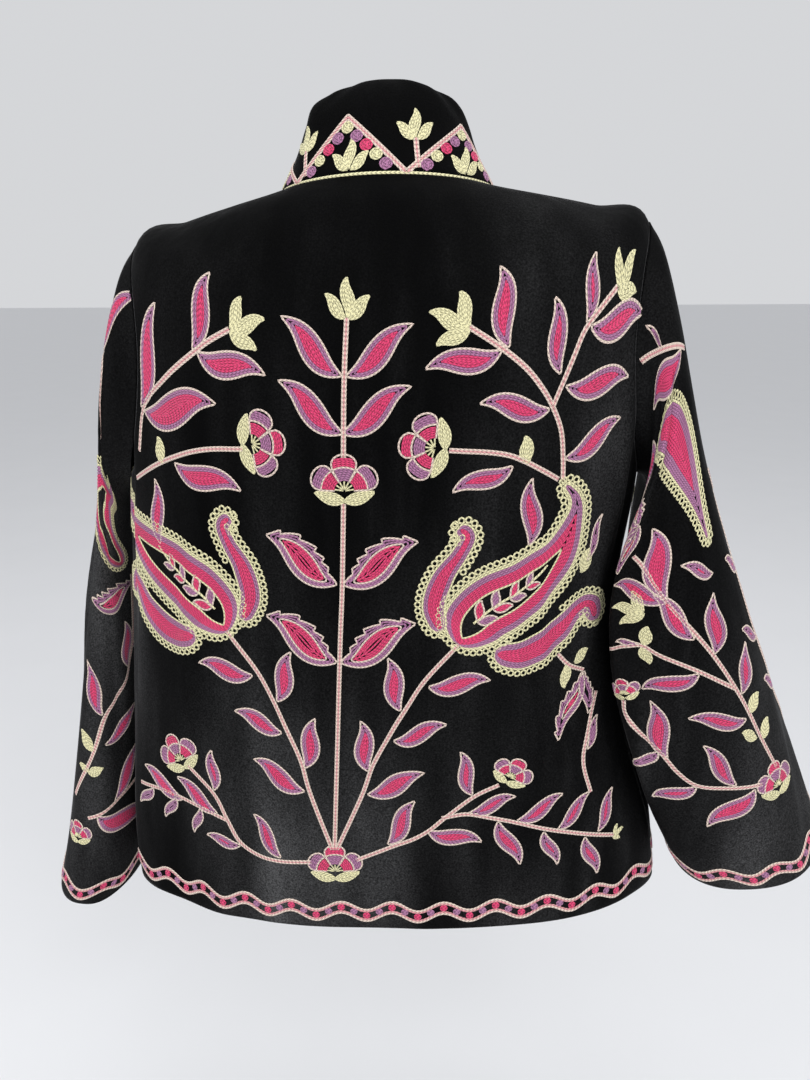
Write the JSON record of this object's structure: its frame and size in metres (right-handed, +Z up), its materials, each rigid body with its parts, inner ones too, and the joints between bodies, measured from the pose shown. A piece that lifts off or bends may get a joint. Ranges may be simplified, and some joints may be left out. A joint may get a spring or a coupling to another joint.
{
  "type": "velvet kimono jacket",
  "caption": "Hip-length boxy jacket of dark velvet, filled out as worn, with wide hanging sleeves, an open front edge to edge and a stand collar with a rolled top.",
  "frame": {"origin": "middle of the neck opening, level with the collar seam at centre back, where the wearer's neck and shoulders hold the jacket", "axes": "+Z up, the back faces +Y and the fronts face -Y, +X to the wearer's left"},
  "size_m": [0.7683, 0.2588, 0.7561],
  "materials": {
    "velvet": "near-black velvet with a short nap, embroidered in pink, lilac and cream chain stitch",
    "collar_velvet": "the same near-black velvet, with an embroidered zigzag",
    "thread": "soft matt embroidery thread in hot pink, lilac, cream and pale pink, worked in chain stitch"
  },
  "bodies": {
    "root": {"back": "velvet", "front_left": "velvet", "front_right": "velvet", "sleeve_left": "velvet", "sleeve_right": "velvet", "collar": "collar_velvet"}
  },
  "joints": []
}
